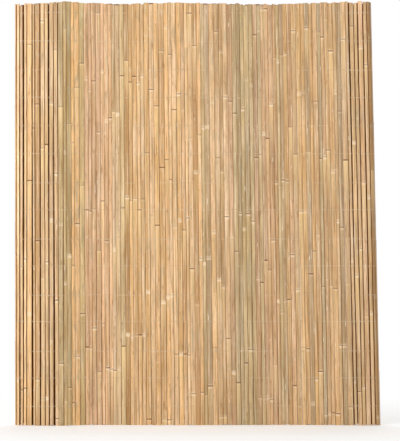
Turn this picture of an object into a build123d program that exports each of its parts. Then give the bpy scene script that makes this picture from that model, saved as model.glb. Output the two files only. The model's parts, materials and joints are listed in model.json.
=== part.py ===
from build123d import *
import math
import os
import random

# A garden fence of split bamboo slats, tied side by side with rows of
# galvanised wire, rolled up into one long flattened turn. Seen from above the
# inner end lies in the left loop, behind the front. From there the fence crosses
# to the rear and runs right along it, round the right loop, left along the
# front and round the left loop, and its outer end laps the rear.
#
# Millimetres, +Z up, front towards -Y, standing on the feet of the slats.
# The origin is the middle of the footprint. Every place along the fence is
# first worked out on a plan line, which the inner faces of the slats touch.

# Slats
slat_length = 1219.0  # a fence 4 ft high
short_cut = 4.5  # how much shorter a slat may be cut
foot_lift = 2.0  # how far up a slat may be tied; half of them stand at 0
slat_pitch = 12.2  # a slat and its gap, along the plan line
width_spread = 0.26  # slat widths differ by this share either way
slat_thickness = 4.0
thickness_spread = 0.35
tight_gap = (0.55, 1.1)  # between slats in the flat middle and at the rear
loose_gap = (1.6, 4.4)  # between slats round the two noses, seen from the front
lean_share = 0.8  # how much of its gaps a slat may lean through

# Nodes of the culms that the slats were split from
node_spacing = 366.0
node_scatter = 34.0  # how far an internode may differ from that
split_scatter = 5.0  # between slats split from one length of culm
strangers = 0.35  # share of slats that came from elsewhere
node_step = 0.8  # the skin stands out this much at a node
step_height = 4.0

# Tie wires: one strand outside the slats and one inside, in every row
wire_rows = 15
wire_size = 0.9
wire_seat = 0.2  # between a strand and the thickest slat
wire_tail = 6.0  # past the last slat at either end
row_scatter = 3.0
foot_margin = 54.0  # lowest row above the foot
head_margin = 37.0  # highest row below the head

# Plan of the flattened turn
layer_clearance = 0.3  # between strands of two layers
right_neck_x = 303.0
right_nose_x = 524.6
right_nose_radius = 22.0
left_neck_x = -305.0
front_crest = [(-382.0, -30.0), (-424.0, -33.0)]  # of the left loop
rear_crest = (-404.0, 32.0)
left_nose_x = -522.5
left_nose_radius = 17.0
neck_ease = 36.0  # the neck at the left of the front is bent over this length
loose_right_x = 445.0  # slats beyond these two lie loose
loose_left_x = -392.0
billow = 12.0  # the front stands forward here
billow_x = -64.0
inner_gap = 7.0  # between the inner end and the front of the left loop
inner_end_inset = 18.0  # of the inner end from where the nose begins
inner_neck_inset = 17.0  # of its landing on the rear from the left neck
inner_facets = 2  # stretches of the plan line from the inner end to the rear
lap_length = 99.0  # of the outer end past the left neck
fan = 0.0266  # the head is this share narrower than the foot

# Split of the fence into named groups of slats
culms = 40
seed = 23

thickest = slat_thickness + thickness_spread
strand_room = wire_seat + wire_size
half_room = strand_room + layer_clearance / 2
lap_pitch = thickest + 2 * strand_room + layer_clearance


def turn_between(before, at, after):
    """Angle in radians by which the line turns left at a point."""
    heading_in = math.atan2(at[1] - before[1], at[0] - before[0])
    heading_out = math.atan2(after[1] - at[1], after[0] - at[0])
    return (heading_out - heading_in + math.pi) % math.tau - math.pi


def eased(before, corner, after):
    """Two points that cut a corner with a facet of neck_ease."""
    cut = neck_ease / 2
    points = []
    for end in (before, after):
        share = cut / math.dist(corner, end)
        points.append(tuple(c + (e - c) * share for c, e in zip(corner, end)))
    return points


def nose_points(centre_x, radius, side, approach):
    """Folds round a nose, from the rear to the front on the right (side 1) and
    from the front to the rear on the left (side -1), one slat apart. The arc
    is tangent to the line that comes from the approach point."""
    reach = math.dist(approach, (centre_x, 0))
    bearing = math.atan2(abs(approach[1]), side * (approach[0] - centre_x))
    half_turn = bearing - math.acos(radius / reach)
    count = max(3, round(2 * half_turn * radius / slat_pitch))
    points = []
    for step in range(count + 1):
        angle = half_turn - 2 * half_turn * step / count
        x = centre_x + side * radius * math.cos(angle)
        points.append((x, side * radius * math.sin(angle)))
    return points


def behind(start, end, along, gap):
    """A point some way along the line from start to end, and to its left."""
    heading = math.atan2(end[1] - start[1], end[0] - start[0])
    x = start[0] + along * math.cos(heading) - gap * math.sin(heading)
    return (x, start[1] + along * math.sin(heading) + gap * math.cos(heading))


def plan_line():
    """Folds of the plan line at the foot, from the inner end to the outer."""
    rear, front = half_room, -half_room
    lap = rear + lap_pitch
    right_centre = right_nose_x - right_nose_radius
    right_nose = nose_points(right_centre, right_nose_radius, 1, (right_neck_x, rear))
    left_centre = left_nose_x + left_nose_radius
    left_nose = nose_points(left_centre, left_nose_radius, -1, front_crest[-1])
    billow_peak = (billow_x, front - billow)
    slope = left_nose[0], front_crest[-1]
    inner_end = behind(*slope, inner_end_inset, inner_gap)
    inner_bend = behind(*slope, math.dist(*slope), inner_gap)
    line = [inner_end, inner_bend, (left_neck_x - inner_neck_inset, rear)]
    line += [(right_neck_x, rear)] + right_nose + [(right_neck_x, front), billow_peak]
    line += eased(billow_peak, (left_neck_x, front), front_crest[0])
    line += front_crest + left_nose + [rear_crest]
    line += [(left_neck_x, lap), (left_neck_x + lap_length, lap)]
    return line


def at_height(point, height):
    """A plan point as it lies at a height: the fence narrows to its head."""
    reach = point[0] - left_nose_x
    return (point[0] - fan * reach * height / slat_length, point[1])


def offset_line(line, distance):
    """The line moved to its skin side, mitred at the folds."""
    moved = []
    last = len(line) - 1
    for i, point in enumerate(line):
        before = line[max(i - 1, 0)]
        after = line[min(i + 1, last)]
        if i in (0, last):
            turn = 0.0
        else:
            turn = turn_between(before, point, after)
        if i == last:
            heading = math.atan2(point[1] - before[1], point[0] - before[0])
        else:
            heading = math.atan2(after[1] - point[1], after[0] - point[0])
        normal = heading + math.pi / 2 - turn / 2
        length = distance / math.cos(turn / 2)
        x = point[0] + length * math.cos(normal)
        moved.append((x, point[1] + length * math.sin(normal)))
    return moved


def lengthened(line, extra):
    """The line with its two end stretches made longer."""
    ends = []
    for point, neighbour in ((line[0], line[1]), (line[-1], line[-2])):
        share = extra / math.dist(point, neighbour)
        ends.append(tuple(p + (p - n) * share for p, n in zip(point, neighbour)))
    return [ends[0]] + line[1:-1] + [ends[1]]


def strand_edges(line, height, near, far):
    """The edges of a strand nearest to the slats and furthest from them."""
    level = lengthened([at_height(p, height) for p in line], wire_tail)
    return offset_line(level, near), offset_line(level, far)


def inside_folds(line):
    """The folds that the inner strand bends at. Inside a nose, where a fold
    comes after every slat, it is tied at every second gap."""
    kept = [line[0]]
    skipped = False
    for before, at, after in zip(line, line[1:], line[2:]):
        longest = max(math.dist(before, at), math.dist(at, after))
        skipped = longest < 2 * slat_pitch and not skipped
        if not skipped:
            kept.append(at)
    return kept + [line[-1]]


def node_heights(rng, first):
    """Heights of the nodes along one slat, from a first one."""
    heights = []
    height = first
    while height < slat_length - short_cut - 2 * step_height:
        if height > 2 * step_height:
            heights.append(height)
        height += node_spacing + rng.uniform(-node_scatter, node_scatter)
    return heights


def slot_ends(rng, line):
    """Slots of the slats along the plan line, as a facet's number, the two
    shares of its length between which the slot lies, and two margins."""
    slots = []
    last = len(line) - 2
    for i, (start, end) in enumerate(zip(line, line[1:])):
        length = math.dist(start, end)
        count = max(1, round(length / slat_pitch))
        weights = [1 + rng.uniform(-width_spread, width_spread) for _ in range(count)]
        closing = [0.0, 0.0]
        if i > 0:
            closing[0] = turn_between(line[i - 1], start, end)
        if i < last:
            closing[1] = turn_between(start, end, line[i + 2])
        done = 0.0
        for k, weight in enumerate(weights):
            share = weight / sum(weights)
            x, y = (s + (e - s) * (done + share / 2) for s, e in zip(start, end))
            outward = not loose_left_x < x < loose_right_x
            loose = outward and y < half_room and i >= inner_facets
            margins = [rng.uniform(*(loose_gap if loose else tight_gap)) / 2] * 2
            if k == 0:
                margins[0] += thickest * math.tan(max(closing[0], 0.0) / 2)
            if k == count - 1:
                margins[1] += thickest * math.tan(max(closing[1], 0.0) / 2)
            slots.append((i, done, done + share, margins))
            done += share
    return slots


def skin_profile(thickness, length, nodes):
    """Side view of a slat as (out, up) points: flat inside, and on the skin
    side each internode flares to the node at its head."""
    points = [(0.0, 0.0), (0.0, length), (thickness - node_step / 2, length)]
    for height in reversed(nodes):
        points.append((thickness - node_step, height + step_height))
        points.append((thickness, height))
    points.append((thickness - node_step / 2, 0.0))
    return points


def lay_out_slats(line):
    """Foot, head, width direction, width and side view of every slat."""
    rng = random.Random(seed)
    slots = slot_ends(rng, line)
    head_line = [at_height(p, slat_length) for p in line]
    phase = 0.0
    group = -1
    slats = []
    for number, (facet, left, right, margins) in enumerate(slots):
        if number * culms // len(slots) != group:
            group = number * culms // len(slots)
            phase = rng.uniform(0, node_spacing)
        own_phase = rng.uniform(0, node_spacing)
        near_phase = phase + rng.uniform(-split_scatter, split_scatter)
        stranger = rng.random() < strangers
        nodes = node_heights(rng, (own_phase if stranger else near_phase) % node_spacing)
        lift = foot_lift * max(0.0, rng.uniform(-1, 1))
        cut = short_cut * rng.random() ** 2
        length = slat_length - max(lift, cut)
        thickness = slat_thickness + rng.uniform(-thickness_spread, thickness_spread)
        lean = rng.uniform(-lean_share, lean_share)

        feet = line[facet], line[facet + 1]
        heads = head_line[facet], head_line[facet + 1]
        foot_length = math.dist(*feet)
        slot_length = foot_length * (right - left)
        width = slot_length - sum(margins)
        centre = left + (margins[0] + width / 2) / foot_length
        foot = Vector(*feet[0]) + (Vector(*feet[1]) - Vector(*feet[0])) * centre
        head = Vector(*heads[0]) + (Vector(*heads[1]) - Vector(*heads[0])) * centre
        along = (Vector(*feet[1]) - Vector(*feet[0])).normalized()
        squeeze = (slot_length - math.dist(*heads) * (right - left)) / 2
        head += along * lean * (min(margins) - squeeze)
        foot -= along * lean * min(margins)
        foot = Vector(foot.X, foot.Y, lift)
        head = Vector(head.X, head.Y, slat_length)
        profile = skin_profile(thickness, length, nodes)
        slats.append((group, foot, head, along, width, profile))
    return slats


def slat_solid(foot, head, along, width, profile, shift):
    """One slat: its side view drawn up its lean and extruded over its width."""
    rise = (head - foot) / (head.Z - foot.Z)
    out = Vector(-along.Y, along.X, 0)
    start = foot + shift - along * (width / 2)
    outline = [start + out * u + rise * v for u, v in profile]
    face = Face(Wire.make_polygon(outline))
    return Solid.extrude(face, along * width)


def strand_solid(near, far, height, shift):
    """One strand of tie wire round the whole fence. It has three sides: a flat
    one towards the slats and two that meet at the far edge."""
    half = Vector(0, 0, wire_size / 2)
    flat = [Vector(x, y, height) + shift for x, y in near]
    low, high = [p - half for p in flat], [p + half for p in flat]
    ridge = [Vector(x, y, height) + shift for x, y in far]
    faces = []
    for one, other in ((low, high), (high, ridge), (ridge, low)):
        for a, b, c, d in zip(one, one[1:], other[1:], other):
            faces.append(Face(Wire.make_polygon([a, b, c, d])))
    for end in (0, -1):
        faces.append(Face(Wire.make_polygon([low[end], high[end], ridge[end]])))
    return Solid(Shell(faces))


def row_heights():
    """Heights of the tie wires, a little uneven as they are tied."""
    rng = random.Random(seed + 1)
    span = slat_length - foot_margin - head_margin
    heights = []
    for row in range(wire_rows):
        scatter = rng.uniform(-row_scatter, row_scatter)
        heights.append(foot_margin + span * row / (wire_rows - 1) + scatter)
    return heights


def footprint_shift(rows):
    """The move that brings the middle of the footprint to the origin."""
    xs = [x for outer, _, _ in rows for edge in outer for x, _ in edge]
    ys = [y for outer, _, _ in rows for edge in outer for _, y in edge]
    return Vector(-(min(xs) + max(xs)) / 2, -(min(ys) + max(ys)) / 2, 0)


def main():
    os.makedirs("parts", exist_ok=True)
    line = plan_line()
    inner_line = inside_folds(line)
    outside = (thickest + wire_seat, thickest + strand_room)
    inside = (-wire_seat, -strand_room)
    rows = []
    for height in row_heights():
        outer = strand_edges(line, height, *outside)
        inner = strand_edges(inner_line, height, *inside)
        rows.append((outer, inner, height))
    shift = footprint_shift(rows)

    slats = lay_out_slats(line)
    for group in range(culms):
        solids = [slat_solid(*s[1:], shift) for s in slats if s[0] == group]
        export_step(Compound(solids), f"parts/culm_{group + 1:02d}_slats.step")
    for number, (outer, inner, height) in enumerate(rows, 1):
        strands = [strand_solid(*edges, height, shift) for edges in (outer, inner)]
        export_step(Compound(strands), f"parts/tie_wire_{number:02d}.step")

    fence_length = sum(math.dist(a, b) for a, b in zip(line, line[1:]))
    print(f"{len(slats)} slats, {len(line)} folds, {len(inner_line)} inner folds")
    print(f"fence {fence_length:.0f} mm long, origin moved {shift}")


main()
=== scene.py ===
"""Dresses the rolled fence of split bamboo: its slats, its tie wires and the studio.

Every place and size of the fence is read from the frame. Each slat is found as a
loose part of its culm's node, and is drawn again there with a crowned skin, sawn
ends and ridged nodes. Each row of tie wire is laid over those slats.
"""

import json
import logging
import math
from dataclasses import dataclass, field, replace
from enum import Enum
from functools import reduce
from random import Random

import bpy
import numpy as np
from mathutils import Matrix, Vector


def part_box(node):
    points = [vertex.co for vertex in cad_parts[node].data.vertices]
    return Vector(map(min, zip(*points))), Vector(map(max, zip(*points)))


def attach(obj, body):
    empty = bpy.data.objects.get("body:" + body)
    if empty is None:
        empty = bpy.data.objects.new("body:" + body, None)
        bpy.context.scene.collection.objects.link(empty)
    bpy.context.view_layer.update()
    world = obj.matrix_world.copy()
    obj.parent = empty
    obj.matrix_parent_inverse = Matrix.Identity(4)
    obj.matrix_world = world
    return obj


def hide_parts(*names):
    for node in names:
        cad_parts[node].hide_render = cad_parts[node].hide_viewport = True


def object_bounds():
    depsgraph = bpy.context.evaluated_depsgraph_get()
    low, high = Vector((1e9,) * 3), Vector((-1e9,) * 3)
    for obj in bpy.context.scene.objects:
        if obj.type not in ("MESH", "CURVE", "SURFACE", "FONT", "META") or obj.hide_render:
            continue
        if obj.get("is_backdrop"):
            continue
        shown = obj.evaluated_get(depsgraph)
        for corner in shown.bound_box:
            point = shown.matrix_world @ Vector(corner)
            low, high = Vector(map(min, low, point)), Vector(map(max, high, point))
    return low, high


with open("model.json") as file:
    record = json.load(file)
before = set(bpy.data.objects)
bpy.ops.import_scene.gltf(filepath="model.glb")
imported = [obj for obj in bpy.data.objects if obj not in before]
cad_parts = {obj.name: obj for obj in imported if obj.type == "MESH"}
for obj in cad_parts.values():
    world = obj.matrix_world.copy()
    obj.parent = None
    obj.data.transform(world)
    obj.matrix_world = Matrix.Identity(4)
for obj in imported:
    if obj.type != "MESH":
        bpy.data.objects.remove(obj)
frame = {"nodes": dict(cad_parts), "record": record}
log = logging.getLogger("bamboo_fence")

Rgb = tuple[int, int, int]
Span = tuple[float, float]
Triple = tuple[float, float, float]
Socket = bpy.types.NodeSocket

MM = 0.001
SEED = 63  # of the slats' forms and tones
LEVEL_SEED = 45635  # of how light each culm is
WHITE = (1.0, 1.0, 1.0, 1.0)
WARMER = np.array([0.2, 0, -1.2])  # what a warmer colour gains in red and loses in blue


def linear(red: int, green: int, blue: int) -> tuple[float, float, float, float]:
    """Turns a colour as a screen shows it, 0 to 255, into a shader's colour.

    Args:
        red: Red on the screen.
        green: Green on the screen.
        blue: Blue on the screen.

    Returns:
        The colour in linear light, with an alpha of 1.
    """
    levels = []
    for value in (red, green, blue):
        share = value / 255
        low = share <= 0.04045
        levels.append(share / 12.92 if low else ((share + 0.055) / 1.055) ** 2.4)
    return (*levels, 1.0)


def linked(name: str, data: bpy.types.ID) -> bpy.types.Object:
    """Makes an object and links it to the scene.

    Args:
        name: The object's name.
        data: Its mesh, lamp or camera.

    Returns:
        The object.
    """
    made = bpy.data.objects.new(name, data)
    bpy.context.scene.collection.objects.link(made)
    return made


def bell(distance: float, reach: float) -> float:
    """Falls smoothly from 1 at no distance towards 0 past the reach."""
    return math.exp(-((distance / reach) ** 2))


class Tone(Enum):
    """Colours that dry split bamboo has in this fence, as a screen shows them."""

    STRAW = (221, 184, 140)
    HONEY = (215, 174, 125)
    TAN = (207, 168, 129)
    GREY_GREEN = (194, 169, 127)
    DUN = (195, 166, 130)
    BROWN = (186, 147, 103)
    PALE = (232, 201, 159)


# For each slot its culms' tone, and its shares of grey weather and brown stains
SLOTS = {
    "straw_bamboo": (Tone.STRAW, 0.4, 0.6),
    "honey_bamboo": (Tone.HONEY, 0.35, 0.65),
    "tan_bamboo": (Tone.TAN, 0.35, 0.7),
    "grey_green_bamboo": (Tone.GREY_GREEN, 0.6, 0.45),
}


@dataclass(frozen=True)
class Slat:
    """One slat of the frame, as its plain solid gives it, in metres."""

    foot: Vector
    head: Vector
    across: Vector
    out: Vector
    width: float
    thickness: float
    nodes: tuple[float, ...]

    @property
    def length(self) -> float:
        """Height of the head over the foot."""
        return self.head.z - self.foot.z

    def inner_middle(self, height: float) -> Vector:
        """Middle of the inner face at a height over the foot."""
        return self.foot.lerp(self.head, height / self.length)

    def split_nodes(self, height: float) -> tuple[tuple[float, ...], tuple[float, ...]]:
        """Heights of the nodes up to a height, and of those above it."""
        count = sum(node <= height for node in self.nodes)
        return self.nodes[:count], self.nodes[count:]


@dataclass
class SlatReader:
    """Finds the slats in the node of one culm."""

    same_place: float = 1e-6
    level: float = 2e-5

    @staticmethod
    def root(owner: list[int], item: int) -> int:
        """Follows the owners of a corner to the last one, and shortens the way.

        Args:
            owner: For each corner, the corner that owns it.
            item: The corner to start from.

        Returns:
            The corner that owns itself.
        """
        while owner[item] != item:
            owner[item] = owner[owner[item]]
            item = owner[item]
        return item

    def islands(self, mesh: bpy.types.Mesh) -> list[np.ndarray]:
        """Splits a mesh into its loose parts, in the order of their vertices.

        Args:
            mesh: A node's mesh, whose vertices are split at its edges.

        Returns:
            For each part, the places of its corners.
        """
        places = np.empty(len(mesh.vertices) * 3)
        mesh.vertices.foreach_get("co", places)
        places = places.reshape(-1, 3)
        keys = np.round(places / self.same_place).astype(np.int64)
        _, first, merged = np.unique(keys, axis=0, return_index=True, return_inverse=True)
        merged = merged.reshape(-1)
        owner = list(range(len(first)))
        for edge in mesh.edges:
            a, b = (self.root(owner, int(merged[v])) for v in edge.vertices)
            owner[max(a, b)] = min(a, b)
        parts: dict[int, list[int]] = {}
        for item in sorted(range(len(first)), key=lambda k: first[k]):
            parts.setdefault(self.root(owner, item), []).append(int(first[item]))
        return [places[members] for members in parts.values()]

    def slat(self, corners: np.ndarray) -> Slat:
        """Reads one slat from the corners of its solid.

        Args:
            corners: The corners, four at the foot, four at the head and, on
                the skin side alone, two pairs at each node.

        Returns:
            The slat.
        """
        heights = corners[:, 2]
        at_foot = heights < heights.min() + self.level
        at_head = heights > heights.max() - self.level
        feet, heads = corners[at_foot], corners[at_head]
        between = corners[~at_foot & ~at_head]
        axis_foot, axis_head = feet.mean(axis=0), heads.mean(axis=0)
        share = (between[:, 2] - axis_foot[2]) / (axis_head[2] - axis_foot[2])
        line = axis_foot + (axis_head - axis_foot) * share[:, None]
        offset = (between - line).mean(axis=0)
        out = Vector((offset[0], offset[1], 0)).normalized()
        across = Vector((out.y, -out.x, 0))
        flat_out = np.array(out)
        reach = (feet - axis_foot) @ flat_out
        shift = flat_out * reach.min()
        steps = np.unique(np.round(between[:, 2] - axis_foot[2], 5))
        return Slat(
            foot=Vector(axis_foot + shift),
            head=Vector(axis_head + shift),
            across=across,
            out=out,
            width=float(np.ptp(feet @ np.array(across))),
            thickness=float(((between - line) @ flat_out).max() - reach.min()),
            nodes=tuple(float(step) for step in steps[::2]),
        )

    def read(self, node: bpy.types.Object) -> list[Slat]:
        """Reads the slats of one culm's node, in the order they stand in."""
        return [self.slat(corners) for corners in self.islands(node.data)]


@dataclass
class SlatShape:
    """Sizes of the drawn slat that its plain solid leaves out, in metres."""

    # Skin
    crown: float = 0.54 * MM
    edge_drop: float = 0.6 * MM
    drop_range: Span = (0.15, 1.9)
    drop_skew: float = 2.2
    edge_share: float = 0.14
    edge_fade: float = 0.5
    internode_sink: float = 0.75 * MM
    flare: float = 0.35 * MM
    # Nodes
    rise_reach: float = 4 * MM
    step_reach: float = 1 * MM
    scar_over: float = 1.7 * MM
    scar_reach: float = 0.9 * MM
    scar_depth: float = 0.45 * MM
    past_end: float = 200 * MM
    # Inner side
    inner_hollow: float = 0.3 * MM
    inner_round: float = 0.5 * MM
    inner_power: int = 8
    inner_fade: float = 0.3
    # Roll, bow and sway
    most_roll: float = math.radians(3.2)
    most_twist: float = math.radians(2.0)
    bow: float = 0.5 * MM
    bow_turns: float = 0.7
    proud: float = 0.4 * MM
    sway_share: float = 0.17
    sway_turns: tuple[float, ...] = (0.5, 1.3, 2.6)
    wave_sizes: Span = (0.6, 1)
    wave_stretch: Span = (0.8, 1.2)
    # Slats that lie loose and lean on each other
    most_pull: float = 1.6 * MM
    mean_pull: float = 0.45
    easing: float = 0.55
    easing_turns: tuple[float, ...] = (0.5, 1.1)
    least_gap: float = 0.3 * MM
    loose_room: float = 1.3 * MM
    # Edges, as shares of the gap beside them
    loose_edge: float = 0.26
    loose_skew: float = 1.5
    loose_wander: float = 0.07
    loose_turns: tuple[float, ...] = (0.8, 1.9, 3.3)
    snug_edge: float = 0.39
    open_edge: float = 0.02
    open_share: float = 0.27
    edge_wander: float = 0.13
    edge_turns: tuple[float, ...] = (0.8, 1.9, 3.4)
    # Heads: a random cut, and cuts in mm along x in metres
    head_trim: float = 2.8 * MM
    trim_skew: float = 1.6
    head_waves: tuple[Span, ...] = (
        (-0.53, 8), (-0.46, 6.5), (-0.42, 4.5), (-0.38, 1.5), (-0.3, 4.5),
        (-0.22, 7), (-0.11, 3.5), (0.05, 5), (0.22, 7.5), (0.34, 4),
        (0.42, 1.5), (0.48, 0), (0.52, 0.5),
    )
    # Corners and rings of the mesh, the rings in mm from a node
    skin_shares: tuple[float, ...] = (-1, -0.93, -0.8, -0.45, 0, 0.45, 0.8, 0.93, 1)
    inner_shares: tuple[float, ...] = (0.99, 0.86, 0.0, -0.86, -0.99)
    node_rings: tuple[float, ...] = (-11, -5, -2, -0.4, 0.3, 1.2, 2.6, 5, 11, 20)
    node_clear: float = 22 * MM
    ring_spacing: float = 30 * MM


@dataclass
class SlatForm:
    """The drawn form of one slat: how it bows and rolls, and its surface."""

    slat: Slat
    shape: SlatShape
    rooms: Span
    pull: float
    rng: Random
    roll: float = field(init=False)
    twist: Span = field(init=False)
    loose: bool = field(init=False)
    sways: list[Triple] = field(init=False)
    easing: list[Triple] = field(init=False)
    edges: list[tuple[float, list[Triple]]] = field(init=False)
    bows: Span = field(init=False)
    proud: float = field(init=False)
    drop: float = field(init=False)

    def __post_init__(self) -> None:
        """Draws the slat's own bow, roll, sway and edges."""
        shape, rng = self.shape, self.rng
        self.roll = rng.uniform(-shape.most_roll, shape.most_roll)
        self.twist = (rng.uniform(-shape.most_twist, shape.most_twist), rng.random())
        room = min(self.rooms)
        self.loose = max(self.rooms) > shape.loose_room
        free = room > shape.loose_room and not self.pull
        self.sways = self.waves(room * shape.sway_share if free else 0.0, shape.sway_turns)
        self.easing = self.waves(shape.easing, shape.easing_turns)
        self.edges = [self.edge(room, way) for room, way in zip(self.rooms, (-1, 1))]
        self.bows = (rng.uniform(-shape.bow, shape.bow), rng.random())
        self.proud = rng.uniform(-shape.proud, shape.proud)
        least, more = shape.drop_range
        self.drop = shape.edge_drop * (least + more * rng.random() ** shape.drop_skew)

    def edge(self, room: float, way: int) -> tuple[float, list[Triple]]:
        """Draws how far one edge stands out into the gap beside it.

        Args:
            room: The gap.
            way: -1 for the edge on the left, 1 for the one on the right.

        Returns:
            The mean reach into the gap, and waves about it.
        """
        shape, rng = self.shape, self.rng
        loose = room > shape.loose_room
        room = 0.0 if loose and self.pull * way > 0 else room
        snug = shape.open_edge if rng.random() < shape.open_share else shape.snug_edge
        share = shape.loose_edge * rng.random() ** shape.loose_skew if loose else snug
        wander = shape.loose_wander if loose else shape.edge_wander
        turns = shape.loose_turns if loose else shape.edge_turns
        return room * share, self.waves(room * wander, turns)

    def waves(self, most: float, turns: tuple[float, ...]) -> list[Triple]:
        """Draws waves along the slat.

        Args:
            most: What the waves add up to at most.
            turns: About how often each wave turns over the slat's length.

        Returns:
            For each wave its size, its turns and where it starts, from 0 to 1.
        """
        shape, rng = self.shape, self.rng
        share = most / len(turns)
        drawn = []
        for turn in turns:
            size = share * rng.uniform(*shape.wave_sizes)
            drawn.append((size, turn * rng.uniform(*shape.wave_stretch), rng.random()))
        return drawn

    @staticmethod
    def added(waves: list[Triple], along: float) -> float:
        """Sum of the waves at a share of the slat's length."""
        return sum(size * math.sin(math.tau * (turn * along + at)) for size, turn, at in waves)

    def skin(self, height: float) -> float:
        """Depth of the skin over the inner face, along the middle.

        Args:
            height: Height over the foot.

        Returns:
            The depth, which rises at each node and dips in the scar over it.
        """
        shape, top = self.shape, self.slat.thickness
        below, above = self.slat.split_nodes(height)
        start = below[-1] if below else -shape.past_end
        stop = above[0] if above else self.slat.length + shape.past_end
        over = height - start
        depth = top - shape.internode_sink + shape.flare * (over / (stop - start)) ** 3
        depth += (top - depth) * bell(stop - height, shape.rise_reach)
        depth += (top - depth) * bell(over, shape.step_reach)
        return depth - shape.scar_depth * bell(over - shape.scar_over, shape.scar_reach)

    def half_width(self, share: float, height: float) -> float:
        """From the middle line to the edge on one side, which wanders a little."""
        mean, wander = self.edges[int(share > 0)]
        return self.slat.width / 2 + (mean + self.added(wander, height / self.slat.length))

    def point(self, share: float, depth: float, height: float) -> Vector:
        """A point of the slat in the row frame.

        Args:
            share: Place across the slat, from -1 to 1.
            depth: Distance out from the inner face.
            height: Height over the foot.

        Returns:
            The point, with the slat's sway, bow and roll.
        """
        slat, shape = self.slat, self.shape
        along = height / slat.length
        side = self.added(self.sways, along)
        side += self.pull * (shape.mean_pull + self.added(self.easing, along))
        amount, phase = self.twist
        roll = self.roll + amount * math.sin(math.tau * (along + phase))
        bow, phase = self.bows
        bow *= math.sin(math.tau * (shape.bow_turns * along + phase)) * math.sin(math.pi * along)
        reach = share * self.half_width(share, height)
        offset = slat.across * (reach * math.cos(roll) + side)
        outward = depth + bow + reach * math.sin(roll) + self.proud
        return slat.inner_middle(height) + offset + slat.out * outward

    def ring_heights(self) -> list[float]:
        """Heights of the rings.

        Returns:
            The heights over the foot, even along the internodes and close at nodes.
        """
        shape, nodes, length = self.shape, self.slat.nodes, self.slat.length
        near = {node + ring * MM for node in nodes for ring in shape.node_rings}
        heights = {height for height in near if 0 < height < length}
        count = math.ceil(length / shape.ring_spacing)
        for step in range(count + 1):
            height = length * step / count
            if all(abs(height - node) > shape.node_clear for node in nodes):
                heights.add(height)
        return sorted(heights | {0.0, length})

    def section(self, height: float) -> list[Triple]:
        """Closed outline of the slat at a height.

        Args:
            height: Height over the foot.

        Returns:
            For each corner its share across, its depth and how far it belongs
            to the skin.
        """
        shape, skin = self.shape, self.skin(height)
        corners = []
        # How far a corner belongs to the skin sets how much of the finish's painted shade of the
        # split sides it takes: the skin edges some, the inner face all
        for share in shape.skin_shares:
            edge = max(0.0, (abs(share) - 1 + shape.edge_share) / shape.edge_share) ** 2
            depth = skin - shape.crown * share**2 - self.drop * edge
            corners.append((share, depth, 1.0 - shape.edge_fade * edge))
        for share in shape.inner_shares:
            edge = (abs(share) / max(shape.inner_shares)) ** shape.inner_power
            depth = shape.inner_hollow * (1 - share**2) + shape.inner_round * edge
            corners.append((share, depth, shape.inner_fade * edge))
        return corners


@dataclass
class MeshDraft:
    """Points, faces and surface values of a mesh that is being drawn."""

    points: list[Vector] = field(default_factory=list)
    faces: list[tuple[int, ...]] = field(default_factory=list)
    tones: list[tuple[float, ...]] = field(default_factory=list)
    values: dict[str, list[Triple]] = field(default_factory=dict)

    def add_corner(self, point: Vector, tone: np.ndarray, **values: Triple) -> None:
        """Adds a point with its surface values.

        Args:
            point: The point.
            tone: Its colour in linear light.
            **values: Its other values, by the names that the finish reads.
        """
        self.points.append(point)
        self.tones.append((*tone, 1.0))
        for name, value in values.items():
            self.values.setdefault(name, []).append(value)

    def bridge(self, first: int, rings: int, count: int, up_first: bool) -> None:
        """Joins rings of corners with faces.

        Args:
            first: Index of the first ring's first corner.
            rings: How many rings there are.
            count: Corners in a ring.
            up_first: True if a face runs to the next ring before it runs round.
        """
        for ring in range(first, first + (rings - 1) * count, count):
            for k in range(count):
                a, b = ring + k, ring + (k + 1) % count
                over_a, over_b = a + count, b + count
                self.faces.append((a, over_a, over_b, b) if up_first else (a, b, over_b, over_a))

    def piece(self, name: str, sharp: float) -> bpy.types.Object:
        """Makes the object.

        Args:
            name: The piece's name.
            sharp: Angle in degrees from which an edge stays sharp.

        Returns:
            The linked object.
        """
        mesh = bpy.data.meshes.new(name)
        mesh.from_pydata(self.points, [], self.faces)
        mesh.shade_smooth()
        mesh.set_sharp_from_angle(angle=math.radians(sharp))
        if self.tones:
            tone = mesh.attributes.new("tone", "FLOAT_COLOR", "POINT")
            tone.data.foreach_set("color", np.ravel(self.tones))
        for label, values in self.values.items():
            held = mesh.attributes.new(label, "FLOAT_VECTOR", "POINT")
            held.data.foreach_set("vector", np.ravel(values))
        log.info("%s: %d faces", name, len(self.faces))
        return linked(name, mesh)


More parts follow.
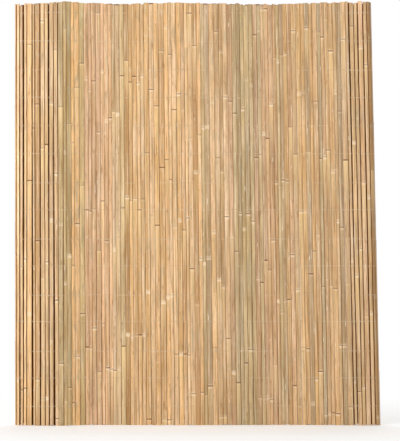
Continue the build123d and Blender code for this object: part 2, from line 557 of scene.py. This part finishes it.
@dataclass
class ToneChooser:
    """Gives each culm, slat and internode its colour."""

    rng: Random
    levels: Random
    stranger_share: float = 0.5
    culm_spread: float = 0.065
    culm_memory: float = 0.35
    slat_spread: float = 0.09
    slat_limits: Span = (-0.12, 0.15)
    internode_spread: float = 0.045
    internode_hue: float = 0.02
    hue_spread: float = 0.024
    # Painted light: slats that lie loose, with wide gaps beside them, are painted this much
    # lighter, as if they caught more light
    loose_painted_light: float = 1.1
    scar_range: Triple = (0.05, 0.8, 1.5)
    pale_range: Triple = (0.05, 0.95, 2.0)
    fresh_range: Triple = (0.0, 1.0, 1.5)
    drift: float = 0.0
    weights: tuple[int, ...] = (22, 22, 13, 15, 11, 8, 6)  # in the order of Tone

    def knot(self) -> Triple:
        """How dark a node's scar is, how pale its bands and how fresh the skin below."""
        ranges = (self.scar_range, self.pale_range, self.fresh_range)
        return tuple(least + more * self.rng.random() ** skew for least, more, skew in ranges)

    def pick(self) -> Tone:
        """Draws a tone by its weight."""
        return self.rng.choices(list(Tone), self.weights)[0]

    def culm_level(self) -> np.ndarray:
        """Draws how light and warm a culm's slats are, partly as the culm before."""
        self.drift = self.drift * self.culm_memory + self.levels.gauss(0, self.culm_spread)
        return (1 + self.drift) * (1 + WARMER * self.levels.gauss(0, self.hue_spread))

    def slat_tone(self, culm: Tone) -> np.ndarray:
        """Draws the colour of one slat.

        Args:
            culm: The tone of its culm.

        Returns:
            The colour in linear light.
        """
        stranger = self.rng.random() < self.stranger_share
        tone = self.pick() if stranger else culm
        low, high = self.slat_limits
        level = 1 + max(low, min(high, self.rng.gauss(0, self.slat_spread)))
        colour = np.array(linear(*tone.value)[:3]) * level
        return colour * (1 + WARMER * self.rng.gauss(0, self.hue_spread))

    def internode_tone(self, slat: np.ndarray) -> np.ndarray:
        """The colour of one internode of a slat."""
        level = 1 + self.rng.gauss(0, self.internode_spread)
        return slat * level * (1 + WARMER * self.rng.gauss(0, self.internode_hue))


@dataclass
class Culm:
    """The slats that were split from one length of culm, as one piece."""

    name: str
    tone: Tone
    forms: list[SlatForm]
    tones: ToneChooser
    rng: Random
    grain_room: float = 900.0
    serials: float = 60.0
    far_over: float = 80.0
    far_under: float = 160.0
    sharp: float = 55.0

    def add_slat(self, draft: MeshDraft, form: SlatForm, colour: np.ndarray) -> None:
        """Draws one slat into the culm's mesh.

        Args:
            draft: The mesh being drawn.
            form: The slat.
            colour: The slat's colour.
        """
        slat = form.slat
        shades = [self.tones.internode_tone(colour) for _ in range(len(slat.nodes) + 1)]
        knots = [self.tones.knot() for _ in range(len(slat.nodes) + 2)]
        aside, along = (self.rng.uniform(0, self.grain_room) for _ in range(2))
        serial = self.rng.uniform(0, self.serials)
        heights = form.ring_heights()
        first = len(draft.points)
        count = len(form.section(0.0))
        for height in heights:
            below, above = slat.split_nodes(height)
            over = (height - below[-1]) / MM if below else self.far_over
            under = (above[0] - height) / MM if above else self.far_under
            for share, depth, skin in form.section(height):
                wide = share * slat.width / 2 / MM
                draft.add_corner(
                    form.point(share, depth, height),
                    shades[len(below)],
                    grain=(wide + aside, height / MM + along, serial),
                    place=(skin, min(over, self.far_over), min(under, self.far_under)),
                    knot_below=knots[len(below)],
                    knot_above=knots[len(below) + 1],
                )
        draft.bridge(first, len(heights), count, True)
        for start in (first, first + (len(heights) - 1) * count):
            self.add_end(draft, form, range(start, start + count), colour)

    def add_end(self, draft: MeshDraft, form: SlatForm, ring: range, colour: np.ndarray) -> None:
        """Closes one end of a slat with its sawn face.

        Args:
            draft: The mesh being drawn.
            form: The slat.
            ring: Indices of the corners of the ring at this end.
            colour: The slat's colour.
        """
        slat, count = form.slat, len(ring)
        corners = [draft.points[k] for k in ring]
        middle = sum(corners, Vector()) / count
        start = len(draft.points)
        serial = self.rng.uniform(0, self.serials)
        nothing = (0.0, 0.0, 0.0)
        for corner in (*corners, middle):
            from_foot = corner - slat.foot
            across, out = from_foot.dot(slat.across) / MM, from_foot.dot(slat.out) / MM
            draft.add_corner(
                corner.copy(),
                colour,
                grain=(across, out, serial),
                place=(-1.0, self.far_over, self.far_under),
                knot_below=nothing,
                knot_above=nothing,
            )
        up = middle.z > (slat.foot.z + slat.head.z) / 2
        for k in range(count):
            a, b = start + k, start + (k + 1) % count
            draft.faces.append((b, a, start + count) if up else (a, b, start + count))

    def build(self) -> bpy.types.Object:
        """Draws all slats of the culm.

        Returns:
            One piece that stands for the culm's node.
        """
        draft = MeshDraft()
        level = self.tones.culm_level()
        for form in self.forms:
            # Painted light: a loose slat's colour is made lighter, as if it caught more light
            lift = self.tones.loose_painted_light if form.loose else 1.0
            self.add_slat(draft, form, self.tones.slat_tone(self.tone) * level * lift)
        made = draft.piece(self.name.replace("_slats", "_split_slats"), self.sharp)
        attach(made, "root")
        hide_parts(self.name)
        return made


@dataclass
class TieWire:
    """One row of tie wire: two strands laid over the slats."""

    name: str
    height: float
    radius: float
    forms: list[SlatForm]
    rng: Random
    sides: int = 5
    touches: tuple[float, ...] = (-0.82, 0.0, 0.82)
    press: float = 0.05 * MM
    inner_press: float = 0.25 * MM
    dip: float = 1.15 * MM
    cross: float = 0.45 * MM
    tail: float = 5 * MM
    tail_start: float = 0.8 * MM
    tail_turns: float = 1.4
    tail_steps: int = 7
    tail_spread: float = 1.05
    sag: float = 0.5 * MM
    sag_step: float = 0.37
    sharp: float = 60.0

    @staticmethod
    def beside(form: SlatForm, share: float, height: float, lift: float, outside: bool) -> Vector:
        """A point at a distance from a slat's skin or, inside, from its inner face."""
        depth = form.skin(height) - form.shape.crown * share**2 + lift
        return form.point(share, depth if outside else -lift, height)

    def strand_line(self, outside: bool) -> list[Vector]:
        """The middle line of a strand.

        Args:
            outside: True for the strand on the skin side.

        Returns:
            The points that the strand runs through, four to a slat.
        """
        lift = self.radius - self.press - (0.0 if outside else self.inner_press)
        line: list[Vector] = []
        drift = self.rng.uniform(0, math.tau)
        for number, form in enumerate(self.forms):
            wave = self.sag * math.sin(number * self.sag_step + drift)
            height = min(self.height + wave - form.slat.foot.z, form.slat.length)
            line += [self.beside(form, share, height, lift, outside) for share in self.touches]
            if number + 1 < len(self.forms):
                line.append(self.gap_point(number, height, outside))
        return line

    def gap_point(self, number: int, height: float, outside: bool) -> Vector:
        """Where a strand crosses the other one in a gap.

        Args:
            number: The slat before the gap.
            height: Height over the foot.
            outside: True for the strand on the skin side.

        Returns:
            The point, above the other strand and below it by turns.
        """
        form, after = self.forms[number : number + 2]
        lift = self.radius - self.dip
        here = self.beside(form, 1.0, height, lift, outside)
        there = self.beside(after, -1.0, height, lift, outside)
        over = outside == bool(number % 2)
        return here.lerp(there, 0.5) + Vector((0, 0, self.cross if over else -self.cross))

    def twisted_end(self, form: SlatForm, end: int, outside: bool) -> list[Vector]:
        """The short twist in which both strands end past the last slat.

        Args:
            form: The last slat.
            end: -1 before the first slat, 1 after the last one.
            outside: True for the strand on the skin side.

        Returns:
            The points of the strand, away from the slat.
        """
        height = self.height - form.slat.foot.z
        start = form.point(float(end), form.skin(height) / 2, height)
        spread = self.radius * self.tail_spread
        points = []
        for step in range(1, self.tail_steps + 1):
            share = step / self.tail_steps
            angle = math.tau * self.tail_turns * share + (0 if outside else math.pi)
            rise = Vector((0, 0, spread * math.sin(angle)))
            depth = form.slat.out * (spread * math.cos(angle))
            reach = form.slat.across * end * (self.tail_start + self.tail * share)
            points.append(start + reach + rise + depth)
        return points

    def tube(self, draft: MeshDraft, line: list[Vector]) -> None:
        """Draws a round strand.

        Args:
            draft: The mesh being drawn.
            line: The points of its middle line.
        """
        places = np.array([tuple(p) for p in line])
        along = np.gradient(places, axis=0)
        along /= np.linalg.norm(along, axis=1)[:, None]
        sideways = np.cross(along, np.array([0.0, 0.0, 1.0]))
        sideways /= np.linalg.norm(sideways, axis=1)[:, None]
        upright = np.cross(sideways, along)
        first = len(draft.points)
        for place, side, rise in zip(places, sideways, upright):
            for k in range(self.sides):
                angle = math.tau * k / self.sides
                spoke = side * math.cos(angle) + rise * math.sin(angle)
                draft.points.append(Vector(place + spoke * self.radius))
        draft.bridge(first, len(line), self.sides, False)
        last = first + (len(line) - 1) * self.sides
        draft.faces.append(tuple(first + k for k in reversed(range(self.sides))))
        draft.faces.append(tuple(last + k for k in range(self.sides)))

    def build(self) -> bpy.types.Object:
        """Draws both strands.

        Returns:
            One piece that stands for the row's node.
        """
        draft = MeshDraft()
        for outside in (True, False):
            start = self.twisted_end(self.forms[0], -1, outside)[::-1]
            stop = self.twisted_end(self.forms[-1], 1, outside)
            self.tube(draft, start + self.strand_line(outside) + stop)
        made = draft.piece(self.name + "_strands", self.sharp)
        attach(made, "root")
        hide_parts(self.name)
        return made


class NodeSheet:
    """Shader nodes of a material or world, with short ways to add and join them."""

    def __init__(self, owner: bpy.types.ID) -> None:
        """Clears the owner's nodes.

        Args:
            owner: The material or world.
        """
        owner.use_nodes = True
        self.tree = owner.node_tree
        self.tree.nodes.clear()

    def put(
        self, kind: str, inputs: dict[str | int, object] | None = None, **settings: object
    ) -> bpy.types.Node:
        """Adds a node.

        Args:
            kind: Blender's name of the node.
            inputs: Sockets or plain values for its inputs, by name or number.
            **settings: What to set on the node first.

        Returns:
            The node.
        """
        node = self.tree.nodes.new(kind)
        for name, value in settings.items():
            setattr(node, name, value)
        for name, value in (inputs or {}).items():
            self.feed(node.inputs[name], value)
        return node

    def feed(self, target: Socket, value: object) -> None:
        """Joins a socket to an input, or writes a plain value into it.

        Args:
            target: The input.
            value: The socket or the value.
        """
        if isinstance(value, Socket):
            self.tree.links.new(value, target)
        else:
            target.default_value = value

    def maths(self, operation: str, *values: object) -> Socket:
        """Result of a Math node on sockets or plain values."""
        return self.put("ShaderNodeMath", dict(enumerate(values)), operation=operation).outputs[0]

    def product(self, *values: object) -> Socket:
        """Multiplies sockets and plain values."""
        return reduce(lambda so_far, value: self.maths("MULTIPLY", so_far, value), values)

    def between(self, value: object, low: float, high: float) -> Socket:
        """Rises smoothly from 0 to 1.

        Args:
            value: What it follows.
            low: Where it is 0.
            high: Where it is 1, which may be less than low.

        Returns:
            The result, level past both ends.
        """
        turned = low > high
        limits = {"From Min": min(low, high), "From Max": max(low, high)}
        ends = {"To Min": float(turned), "To Max": float(not turned)}
        inputs = {"Value": value, **limits, **ends}
        return self.put("ShaderNodeMapRange", inputs, interpolation_type="SMOOTHSTEP").outputs[0]

    def mix(self, factor: object, base: object, top: object, kind: str = "MIX") -> Socket:
        """Blends two colours, and shows as much of the top one as the factor says."""
        inputs = {"Factor": factor, 6: base, 7: top}
        return self.put("ShaderNodeMix", inputs, data_type="RGBA", blend_type=kind).outputs[2]

    def blend(self, factor: Socket, base: Socket, top: Socket) -> Socket:
        """Blends two shaders."""
        return self.put("ShaderNodeMixShader", {0: factor, 1: base, 2: top}).outputs[0]

    def values_of(self, name: str, kind: str = "Vector") -> Socket:
        """The surface values that the mesh holds under a name."""
        return self.put("ShaderNodeAttribute", attribute_name=name).outputs[kind]

    def place(self) -> Socket:
        """The place in the object's own space."""
        return self.put("ShaderNodeTexCoord").outputs["Object"]

    def parts_of(self, vector: Socket) -> tuple[Socket, ...]:
        """The three parts of a vector."""
        return tuple(self.put("ShaderNodeSeparateXYZ", {0: vector}).outputs)

    def stretched(self, vector: Socket, scale: Triple) -> Socket:
        """A vector with each part scaled."""
        inputs = {0: vector, 1: scale}
        return self.put("ShaderNodeVectorMath", inputs, operation="MULTIPLY").outputs[0]

    def noise(self, vector: Socket, scale: Triple, detail: float, roughness: float) -> Socket:
        """Noise over a stretched vector, about 0.5 in the middle."""
        inputs = {"Vector": self.stretched(vector, scale), "Scale": 1.0, "Detail": detail}
        return self.put("ShaderNodeTexNoise", {**inputs, "Roughness": roughness}).outputs["Fac"]


class ShaderSheet(NodeSheet):
    """A material's nodes, with its surface shader."""

    def __init__(self, name: str) -> None:
        """Starts a material with an output and a surface shader.

        Args:
            name: The material's name.
        """
        self.material = bpy.data.materials.new(name)
        super().__init__(self.material)
        self.shader = self.put("ShaderNodeBsdfPrincipled")
        self.output = self.put("ShaderNodeOutputMaterial", {"Surface": self.shader.outputs["BSDF"]})
        self.colour: object = WHITE

    def paint(self, cover: object, colour: Rgb) -> None:
        """Paints over the colour so far, where the cover is."""
        self.colour = self.mix(cover, self.colour, linear(*colour))

    def surface(self, **inputs: object) -> None:
        """Sets the surface shader's inputs, by their names with _ for a space."""
        for name, value in inputs.items():
            self.feed(self.shader.inputs[name.replace("_", " ")], value)

    def bump(self, height: Socket, strength: float, distance: float) -> None:
        """Roughens the surface by a height."""
        inputs = {"Strength": strength, "Distance": distance, "Height": height}
        self.surface(Normal=self.put("ShaderNodeBump", inputs).outputs["Normal"])


@dataclass(frozen=True)
class Pattern:
    """Noise along the grain, and the span of it over which it comes to show."""

    scale: Triple
    detail: float
    roughness: float
    span: Span

    def noise(self, sheet: NodeSheet, vector: Socket) -> Socket:
        """The plain noise."""
        return sheet.noise(vector, self.scale, self.detail, self.roughness)


@dataclass(frozen=True)
class Tint(Pattern):
    """A pattern that multiplies a colour by one tint or another."""

    first: Triple
    second: Triple

    def lay(self, sheet: ShaderSheet, noise: Socket) -> None:
        """Lays the tints over the sheet's colour so far."""
        tint = sheet.mix(sheet.between(noise, *self.span), (*self.first, 1), (*self.second, 1))
        sheet.colour = sheet.mix(1.0, sheet.colour, tint, "MULTIPLY")


@dataclass(frozen=True)
class Paint(Pattern):
    """A pattern that paints a part of a colour over."""

    share: float
    paint: Rgb

    def lay(self, sheet: ShaderSheet, noise: Socket) -> None:
        """Lays the paint over the sheet's colour so far."""
        sheet.paint(sheet.product(sheet.between(noise, *self.span), self.share), self.paint)


# Noises by their scale along the grain, detail and roughness
STREAKS = ((0.21, 0.005, 1), 3, 0.55)
HAIRS = ((3.1, 0.03, 1.3), 3, 0.6)
FIBRES = ((2.2, 0.05, 1), 3, 0.7)
RAGGED = ((0.5, 0.12, 1.9), 2, 0.55)
STREAKY = ((0.7, 0.01, 5.3), 2, 0.55)
CLOUD = Tint((19, 19, 5), 3, 0.55, (0.34, 0.66), (1.06, 1.07, 1.09), (0.93, 0.9, 0.83))


@dataclass(frozen=True)
class BambooFinish:
    """Dry split bamboo: streaked skin with painted highlights, scarred nodes, split sides and
    inside painted dark brown as painted shade, and pale sawn ends.

    Reaches are in mm from a node, from where a mark ends to where it is full.
    """

    name: str
    grey_share: float
    stain_share: float
    stain: Rgb = (148, 101, 50)
    scar: Rgb = (112, 62, 22)
    band: Rgb = (246, 222, 186)
    fresh: Rgb = (238, 203, 145)
    # Painted shade: the inside and the split fibre are painted dark brown, darker than split
    # bamboo's own pale inside, so that the gaps between slats look shaded
    inside: Rgb = (126, 74, 28)
    shaded_fibre: Rgb = (170, 104, 32)
    sawn: Rgb = (222, 188, 142)
    fresh_reach: Span = (150.0, 6.0)
    fresh_streaks: Span = (0.32, 0.6)
    fresh_share: float = 0.85
    band_over: Span = (8.5, 2.0)
    band_under: Span = (8.0, 0.0)
    least_under: float = 0.2
    wobble: float = 14.0
    slant: float = 5.0
    scar_reach: Span = (4.7, 3.0)
    scar_streaks: Span = (0.2, 0.5)
    # Where the skin gives way to the painted shade of the split sides
    split_edge: Span = (0.95, 0.6)
    split_rough: float = 0.9
    sawn_end: Span = (-0.3, -0.7)
    pore_scale: Triple = (1.6, 1.6, 1)
    pore_size: Span = (0.42, 0.18)
    pore_share: float = 0.75
    least_rough: float = 0.32
    more_rough: float = 0.34
    gloss: float = 0.25
    bump_strength: float = 0.55
    bump_depth: float = 0.25 * MM

    def patterns(self) -> tuple[Tint | Paint, ...]:
        """The patterns along the grain.

        Returns:
            The patterns, from the lowest to the topmost.
        """
        return (
            Tint((0.1, 0.005, 2.3), 2, 0.5, (0.3, 0.7), (1.1, 1.1, 1.09), (0.9, 0.9, 0.91)),
            Paint(*STREAKS, (0.5, 0.72), 0.56, (150, 110, 55)),
            Paint(*STREAKS, (0.5, 0.29), 0.55, (244, 221, 187)),
            Tint((0.9, 0.009, 1.7), 3, 0.6, (0.34, 0.68), (1.12, 1.12, 1.12), (0.87, 0.85, 0.83)),
            Tint(*HAIRS, (0.35, 0.68), (1.07, 1.07, 1.07), (0.91, 0.89, 0.87)),
            Paint((0.11, 0.016, 2.1), 3, 0.55, (0.5, 0.68), self.grey_share, (172, 156, 122)),
            Paint((0.2, 0.024, 3.7), 4, 0.65, (0.54, 0.74), self.stain_share, self.stain),
            Paint((0.8, 0.009, 6.1), 2, 0.5, (0.67, 0.73), 0.6, (118, 78, 34)),
            # Painted highlight: small pale glints along the skin, partly the pale bloom of the skin
            Paint((0.36, 0.024, 4.9), 3, 0.6, (0.63, 0.76), 0.8, (250, 236, 214)),
        )

    def paint_grain(self, sheet: ShaderSheet, grain: Socket) -> None:
        """Paints streaks, weather, stains and painted highlights over the slat's own tone.

        Args:
            sheet: The material being made.
            grain: The place along the grain, in mm.
        """
        sheet.colour = sheet.values_of("tone", "Color")
        CLOUD.lay(sheet, CLOUD.noise(sheet, sheet.place()))
        noises: dict[Triple, Socket] = {}
        for pattern in self.patterns():
            if pattern.scale not in noises:
                noises[pattern.scale] = pattern.noise(sheet, grain)
            pattern.lay(sheet, noises[pattern.scale])

    def paint_nodes(self, sheet: ShaderSheet, grain: Socket) -> None:
        """Paints pale bands, the dark scar and the fresh skin at each node.

        Args:
            sheet: The material being made.
            grain: The place along the grain, in mm.
        """
        _, over, under = sheet.parts_of(sheet.values_of("place"))
        scar_size, pale_over, _ = sheet.parts_of(sheet.values_of("knot_below"))
        _, pale_under, freshness = sheet.parts_of(sheet.values_of("knot_above"))
        ragged, streaky = sheet.noise(grain, *RAGGED), sheet.noise(grain, *STREAKY)
        near = sheet.product(sheet.between(under, *self.fresh_reach), freshness)
        streaks = sheet.between(streaky, *self.fresh_streaks)
        sheet.paint(sheet.product(near, streaks, self.fresh_share), self.fresh)
        wobble = sheet.maths("MULTIPLY_ADD", ragged, self.wobble, -self.wobble / 2)
        strength = sheet.maths("MULTIPLY_ADD", pale_under, 1 - self.least_under, self.least_under)
        bands = ((over, self.band_over, pale_over), (under, self.band_under, strength))
        for away, reach, share in bands:
            band = sheet.between(sheet.maths("ADD", away, wobble), *reach)
            sheet.paint(sheet.product(band, share), self.band)
        slant = sheet.maths("MULTIPLY_ADD", ragged, self.slant, -self.slant / 2)
        scar = sheet.between(sheet.maths("ADD", over, slant), *self.scar_reach)
        streaks = sheet.between(streaky, *self.scar_streaks)
        sheet.paint(sheet.product(scar, streaks, scar_size), self.scar)

    def paint_sides(self, sheet: ShaderSheet, grain: Socket) -> Socket:
        """Paints the split edges and the inside dark brown over a fibre pattern, as painted shade
        of the gaps, and paints the sawn ends.

        Args:
            sheet: The material being made.
            grain: The place along the grain, in mm.

        Returns:
            How far a place belongs to a split side, from 0 to 1.
        """
        skin = sheet.parts_of(sheet.values_of("place"))[0]
        split = sheet.between(skin, *self.split_edge)
        # Painted shade: the split sides and the inner face take a dark brown fibre colour that
        # stands in for the shade in the gaps
        shaded_fibre = sheet.mix(sheet.noise(grain, *FIBRES), linear(*self.inside), linear(*self.shaded_fibre))
        sheet.colour = sheet.mix(split, sheet.colour, shaded_fibre)
        inputs = {"Vector": sheet.stretched(grain, self.pore_scale), "Scale": 1.0}
        pores = sheet.put("ShaderNodeTexVoronoi", inputs).outputs["Distance"]
        dots = sheet.product(sheet.between(pores, *self.pore_size), self.pore_share)
        sawn = sheet.mix(dots, linear(*self.sawn), linear(*self.stain))
        sheet.colour = sheet.mix(sheet.between(skin, *self.sawn_end), sheet.colour, sawn)
        return split

    def make(self) -> bpy.types.Material:
        """Makes the material.

        Returns:
            The material, whose roughness and bump follow the hairs of the skin.
        """
        sheet = ShaderSheet(self.name)
        grain = sheet.values_of("grain")
        self.paint_grain(sheet, grain)
        self.paint_nodes(sheet, grain)
        split = sheet.product(self.paint_sides(sheet, grain), self.split_rough)
        hairs = sheet.noise(grain, *HAIRS)
        rough = sheet.maths("MULTIPLY_ADD", hairs, self.more_rough, self.least_rough)
        sheet.surface(Base_Color=sheet.colour, Roughness=sheet.maths("MAXIMUM", rough, split))
        sheet.surface(Specular_IOR_Level=self.gloss)
        sheet.bump(hairs, self.bump_strength, self.bump_depth)
        return sheet.material


@dataclass(frozen=True)
class WireFinish:
    """Dull galvanised wire with its mottled zinc and dusty stretches."""

    name: str = "galvanised_wire_finish"
    zinc: Rgb = (226, 206, 176)
    dull: Rgb = (190, 166, 132)
    dusty: Paint = Paint((13, 13, 29), 2, 0.5, (0.6, 0.44), 0.8, (186, 148, 104))
    mottle: Pattern = Pattern((160, 160, 160), 4, 0.6, (0.4, 0.62))
    metallic: float = 0.3
    least_rough: float = 0.25
    more_rough: float = 0.3
    bump_strength: float = 0.3
    bump_depth: float = 0.05 * MM

    def make(self) -> bpy.types.Material:
        """Makes the material.

        Returns:
            The material, whose roughness and bump follow the mottles.
        """
        sheet = ShaderSheet(self.name)
        place = sheet.place()
        mottle = self.mottle.noise(sheet, place)
        worn = sheet.between(mottle, *self.mottle.span)
        sheet.colour = sheet.mix(worn, linear(*self.dull), linear(*self.zinc))
        self.dusty.lay(sheet, self.dusty.noise(sheet, place))
        rough = sheet.maths("MULTIPLY_ADD", mottle, self.more_rough, self.least_rough)
        sheet.surface(Base_Color=sheet.colour, Metallic=self.metallic, Roughness=rough)
        sheet.bump(mottle, self.bump_strength, self.bump_depth)
        return sheet.material


@dataclass
class Fence:
    """The whole fence: its culms, in the order they stand, and its tie wires."""

    nodes: dict[str, bpy.types.Object]
    slots: dict[str, str]
    shape: SlatShape = field(default_factory=SlatShape)
    pair_share: float = 0.85

    @staticmethod
    def gap_room(slat: Slat, near: Slat) -> float:
        """The gap between two slats beside each other, where it is narrowest."""
        apart = min((near.foot - slat.foot).to_2d().length, (near.head - slat.head).to_2d().length)
        return max(0.0, apart - (slat.width + near.width) / 2)

    def pulls(self, rooms: list[float]) -> list[float]:
        """How far each slat leans on the one beside it, where they lie loose.

        Args:
            rooms: The gap after each slat.

        Returns:
            For each slat its way towards the next one, or less than 0 for its
            way towards the one before. Slats lean on each other in pairs.
        """
        rng = Random(SEED)
        pulls = [0.0] * len(rooms)
        for number, room in enumerate(rooms[:-1]):
            loose = room > self.shape.loose_room
            if loose and not pulls[number] and rng.random() < self.pair_share:
                way = min((room - self.shape.least_gap) / 2, self.shape.most_pull)
                pulls[number], pulls[number + 1] = way, -way
        return pulls

    def sawn(self, slat: Slat, rng: Random) -> Slat:
        """Cuts a slat's head off.

        Args:
            slat: The slat.
            rng: Draws its own part of the cut.

        Returns:
            The slat, shorter by its own part and by that of its place.
        """
        places, cuts = zip(*self.shape.head_waves)
        cut = self.shape.head_trim * rng.random() ** self.shape.trim_skew
        cut += float(np.interp(slat.head.x, places, cuts)) * MM
        return replace(slat, head=slat.inner_middle(slat.length - cut))

    def forms(self, names: list[str]) -> dict[str, list[SlatForm]]:
        """Draws up the form of every slat.

        Args:
            names: The culms' nodes.

        Returns:
            The forms of each culm's slats.
        """
        reader = SlatReader()
        read = [(name, slat) for name in names for slat in reader.read(self.nodes[name])]
        slats = [slat for _, slat in read]
        rooms = [self.gap_room(slat, near) for slat, near in zip(slats, slats[1:])] + [0.0]
        pulls = self.pulls(rooms)
        made: dict[str, list[SlatForm]] = {name: [] for name in names}
        for number, (name, slat) in enumerate(read):
            sides = (rooms[number - 1] if number else 0.0, rooms[number])
            rng = Random(SEED * 1000 + number)
            form = SlatForm(self.sawn(slat, rng), self.shape, sides, pulls[number], rng)
            made[name].append(form)
        log.info("read %d slats in %d culms", len(slats), len(names))
        return made

    def finishes(self) -> dict[str, bpy.types.Material]:
        """The bamboo finish of each material slot."""
        kinds = {slot: BambooFinish(f"{slot}_finish", *SLOTS[slot][1:]) for slot in SLOTS}
        return {slot: kind.make() for slot, kind in kinds.items()}

    def build(self) -> None:
        """Builds every culm and every row of tie wire."""
        culm_names = sorted(n for n in self.nodes if n.startswith("culm_"))
        wire_names = sorted(n for n in self.nodes if n.startswith("tie_wire_"))
        forms = self.forms(culm_names)
        finishes = self.finishes()
        tones = ToneChooser(Random(SEED), Random(LEVEL_SEED))
        for name in culm_names:
            rng = Random(f"{SEED} {name}")
            slot = self.slots[name]
            made = Culm(name, SLOTS[slot][0], forms[name], tones, rng).build()
            made.data.materials.append(finishes[slot])
        chain = [form for name in culm_names for form in forms[name]]
        zinc = WireFinish().make()
        for number, name in enumerate(wire_names):
            low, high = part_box(name)
            height, radius = (low.z + high.z) / 2, (high.z - low.z) / 2
            made = TieWire(name, height, radius, chain, Random(number)).build()
            made.data.materials.append(zinc)


@dataclass(frozen=True)
class Lamp:
    """A square soft lamp, in metres and watts."""

    name: str
    place: Triple
    size: float
    power: float


@dataclass
class Studio:
    """Pale floor, soft lamps and the camera of the photograph's view."""

    low: Vector
    high: Vector
    photo_width: int = 400
    photo_height: int = 441
    foot_line: float = 424.9
    head_line: float = 1.4
    middle_column: float = 197.4
    camera_away: float = 7.0
    floor_reach: float = 30.0
    floor_white: Rgb = (238, 238, 237)
    floor_rough: float = 0.9
    floor_glow: float = 0.31
    shadow_reach: Span = (0.0, 1.1)
    ambient: float = 0.37
    lamps: tuple[Lamp, ...] = (
        Lamp("key_lamp", (-2.5, -2.9, 1.55), 2.2, 93.0),
        Lamp("fill_lamp", (1.9, -3.5, 0.8), 2.2, 37.0),
        Lamp("top_lamp", (0.1, 1.2, 3.0), 1.8, 33.0),
    )

    def add_camera(self) -> None:
        """Places the camera so that the fence fills the frame as in the photo."""
        scale = (self.high.z - self.low.z) / (self.foot_line - self.head_line)
        x = (self.photo_width / 2 - self.middle_column) * scale
        z = (self.foot_line - self.photo_height / 2) * scale
        data = bpy.data.cameras.new("front_camera")
        data.lens = data.sensor_width * self.camera_away / (self.photo_height * scale)
        camera = linked("front_camera", data)
        camera.location = (x, -self.camera_away, z)
        camera.rotation_euler = (math.pi / 2, 0, 0)
        bpy.context.scene.camera = camera

    def floor_finish(self) -> bpy.types.Material:
        """Makes the floor's finish.

        Returns:
            A pale material, which the camera sees fade to white away from the fence.
        """
        sheet = ShaderSheet("floor_finish")
        path = sheet.put("ShaderNodeLightPath").outputs
        seen = sheet.maths("MAXIMUM", path["Is Camera Ray"], path["Is Glossy Ray"])
        squares = []
        for part, reach in zip(sheet.parts_of(sheet.place()), (self.high.x, self.high.y)):
            beyond = sheet.maths("SUBTRACT", sheet.maths("ABSOLUTE", part), reach)
            beyond = sheet.maths("MAXIMUM", beyond, 0.0)
            squares.append(sheet.product(beyond, beyond))
        away = sheet.maths("SQRT", sheet.maths("ADD", *squares))
        white = sheet.product(seen, sheet.between(away, *self.shadow_reach))
        light = sheet.put("ShaderNodeEmission", {"Color": WHITE})
        blend = sheet.blend(white, sheet.shader.outputs["BSDF"], light.outputs["Emission"])
        sheet.feed(sheet.output.inputs["Surface"], blend)
        glow = sheet.product(seen, self.floor_glow)
        sheet.surface(Emission_Color=WHITE, Emission_Strength=glow, Specular_IOR_Level=0.0)
        sheet.surface(Base_Color=linear(*self.floor_white), Roughness=self.floor_rough)
        return sheet.material

    def add_floor(self) -> None:
        """Lays a wide floor."""
        mesh = bpy.data.meshes.new("floor")
        side = self.floor_reach
        corners = [(-side, -side, 0), (side, -side, 0), (side, side, 0), (-side, side, 0)]
        mesh.from_pydata(corners, [], [(0, 1, 2, 3)])
        mesh.materials.append(self.floor_finish())
        floor = linked("floor", mesh)
        floor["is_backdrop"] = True

    def add_world(self) -> None:
        """Gives soft light from all round, and white to the camera."""
        world = bpy.data.worlds.new("studio_world")
        sheet = NodeSheet(world)
        path = sheet.put("ShaderNodeLightPath").outputs
        seen = sheet.maths("MAXIMUM", path["Is Camera Ray"], path["Is Transmission Ray"])
        seen = sheet.maths("MAXIMUM", seen, path["Is Glossy Ray"])
        lit, white = (
            sheet.put("ShaderNodeBackground", {"Color": WHITE, "Strength": strength}).outputs[0]
            for strength in (self.ambient, 1.0)
        )
        sheet.put("ShaderNodeOutputWorld", {0: sheet.blend(seen, lit, white)})
        bpy.context.scene.world = world

    def add_lamps(self) -> None:
        """Hangs the soft lamps and aims them at the middle of the fence."""
        middle = (self.low + self.high) / 2
        for lamp in self.lamps:
            data = bpy.data.lights.new(lamp.name, "AREA")
            data.shape = "SQUARE"
            data.size = lamp.size
            data.energy = lamp.power
            hung = linked(lamp.name, data)
            hung.location = lamp.place
            aim = middle - Vector(lamp.place)
            hung.rotation_euler = aim.to_track_quat("-Z", "Y").to_euler()

    def build(self) -> None:
        """Builds the studio and sets the plain view."""
        self.add_camera()
        self.add_floor()
        self.add_world()
        self.add_lamps()
        bpy.context.scene.view_settings.view_transform = "Standard"
        log.info("studio ready")


def main() -> None:
    """Builds the fence and the studio."""
    logging.basicConfig(level=logging.INFO, format="%(name)s: %(message)s")
    cad_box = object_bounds()
    subparts = frame["record"]["subparts"]
    slots = {part["node"]: part["material_slot"] for part in subparts}
    Fence(frame["nodes"], slots).build()
    Studio(*cad_box).build()


if __name__ == "__main__":
    main()
